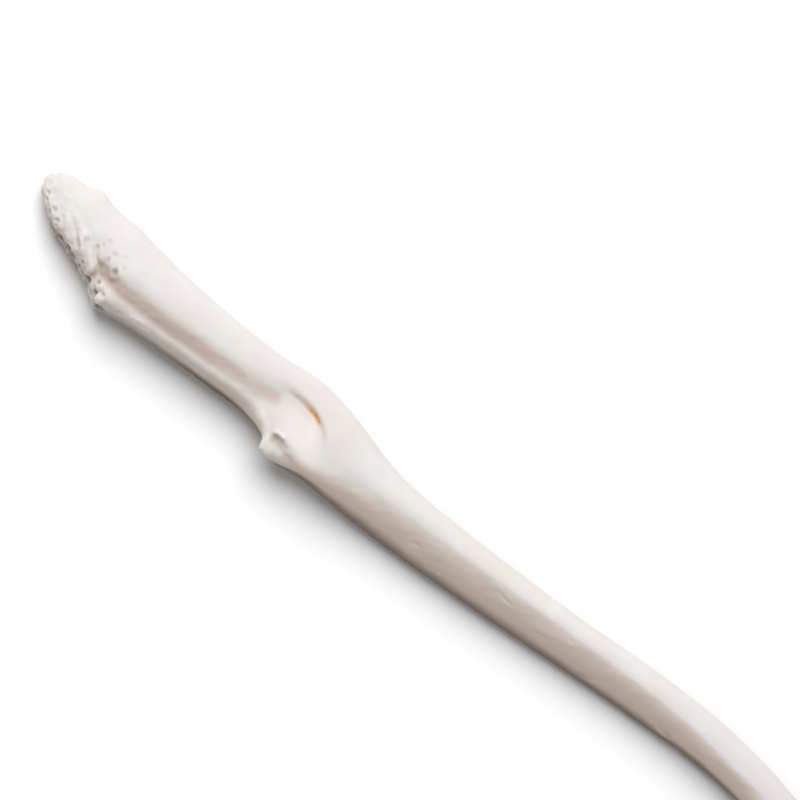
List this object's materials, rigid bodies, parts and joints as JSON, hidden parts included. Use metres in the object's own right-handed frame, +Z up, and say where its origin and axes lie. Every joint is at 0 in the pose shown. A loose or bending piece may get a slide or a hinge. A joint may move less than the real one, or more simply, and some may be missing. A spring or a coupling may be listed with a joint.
{
  "type": "raccoon baculum",
  "caption": "Raccoon baculum lying on its side: coarse oblique base, shaft with a groove, keel, spur and healed wound, and a hooked end with a two-lobed tip.",
  "frame": {"origin": "middle of the bone's bounding box, on the surface that it lies on", "axes": "+X along the shaft from the base towards the hooked end, +Y across the shaft away from the hook, +Z up from the surface"},
  "size_m": [0.1048, 0.0254, 0.0067],
  "materials": {
    "bone": "matte"
  },
  "bodies": {
    "root": {"baculum": "bone"}
  },
  "joints": []
}
